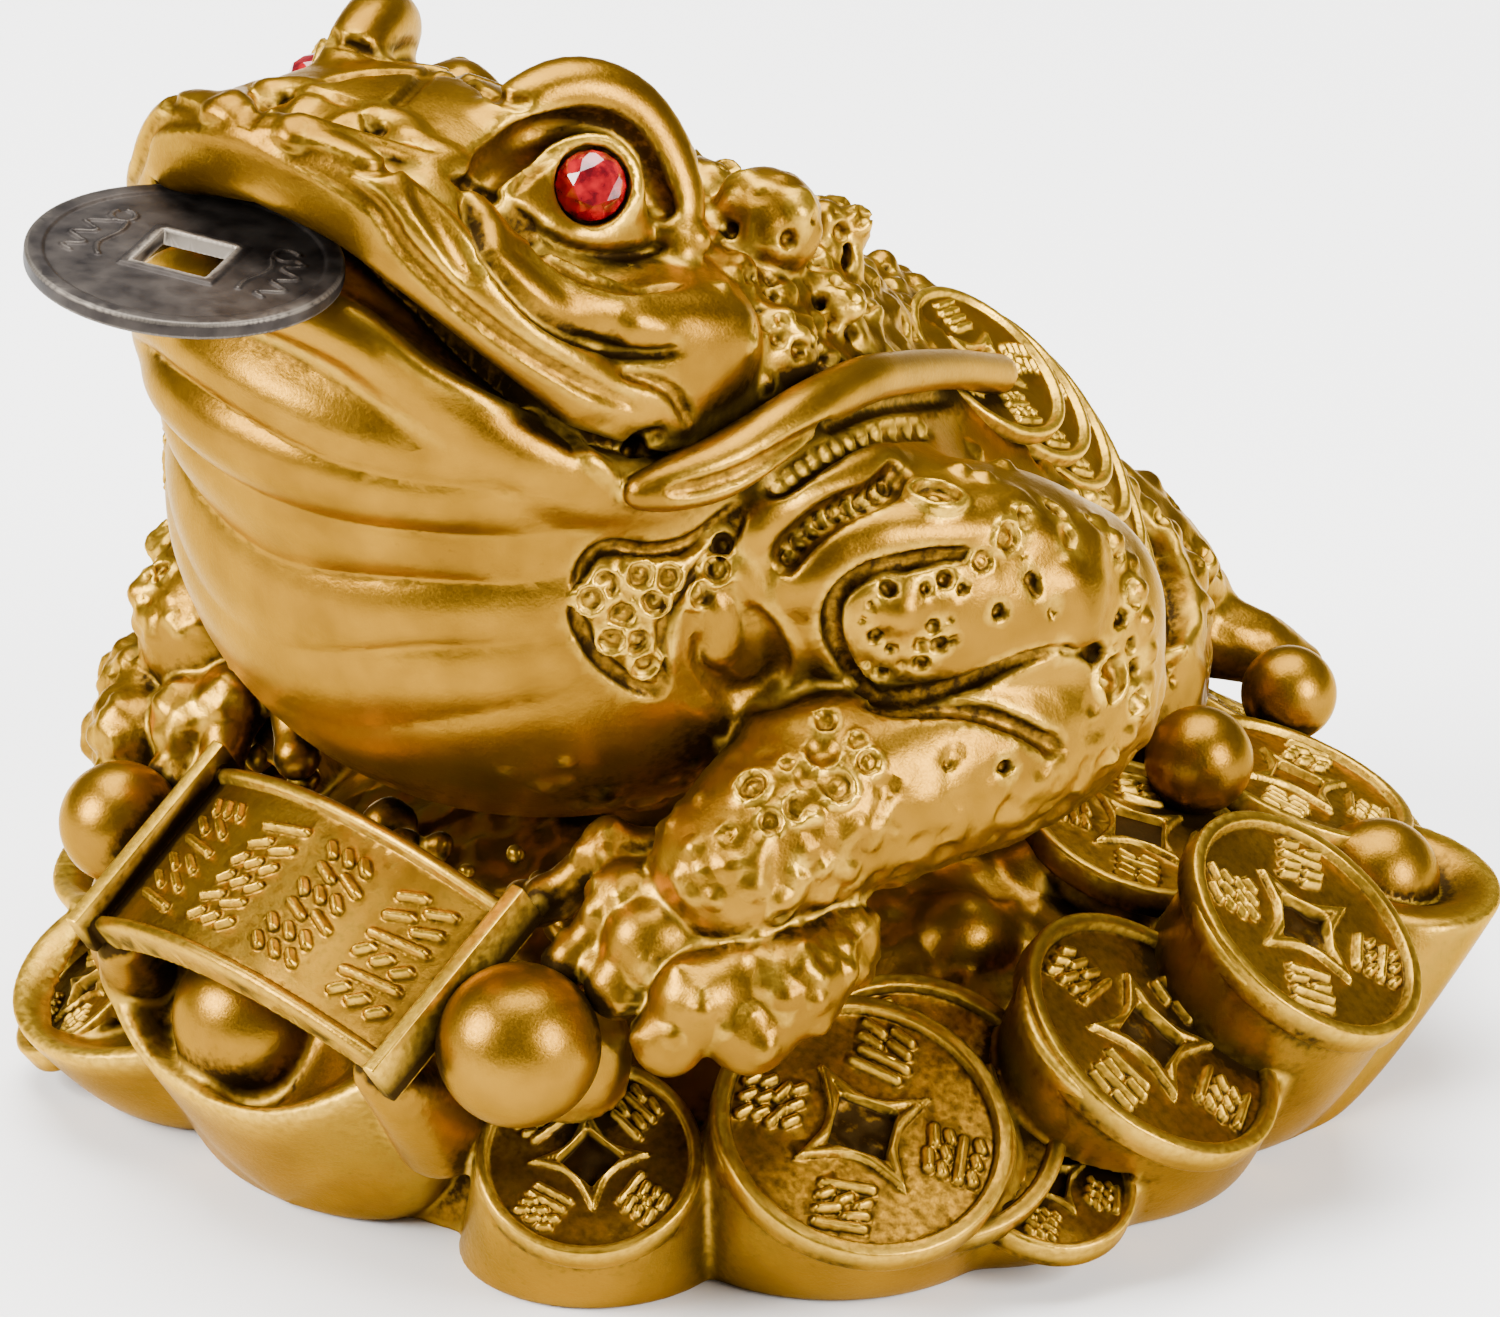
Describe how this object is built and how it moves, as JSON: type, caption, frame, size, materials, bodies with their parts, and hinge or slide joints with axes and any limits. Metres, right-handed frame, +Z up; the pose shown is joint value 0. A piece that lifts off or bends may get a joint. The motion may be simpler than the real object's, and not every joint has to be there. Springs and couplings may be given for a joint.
{
  "type": "money toad figure",
  "caption": "Seated three-legged toad on a heap of ingots, coins and pearls, with a loose square-holed coin in its mouth, cast with a flat underside.",
  "frame": {"origin": "middle of the flat underside", "axes": "+Z up, the toad looks along -Y, its left side is +X"},
  "size_m": [0.1092, 0.1241, 0.0922],
  "materials": {
    "gold_paint": "satin metallic gold paint on cast resin, with brown toning in the recesses",
    "red_glass": "faceted red glass with a foiled back",
    "dark_bronze": "dark toned cast bronze, worn lighter on the rim"
  },
  "bodies": {
    "root": {"toad_figure": "gold_paint", "eye_stone_left": "red_glass", "eye_stone_right": "red_glass", "mouth_coin": "dark_bronze"}
  },
  "joints": []
}
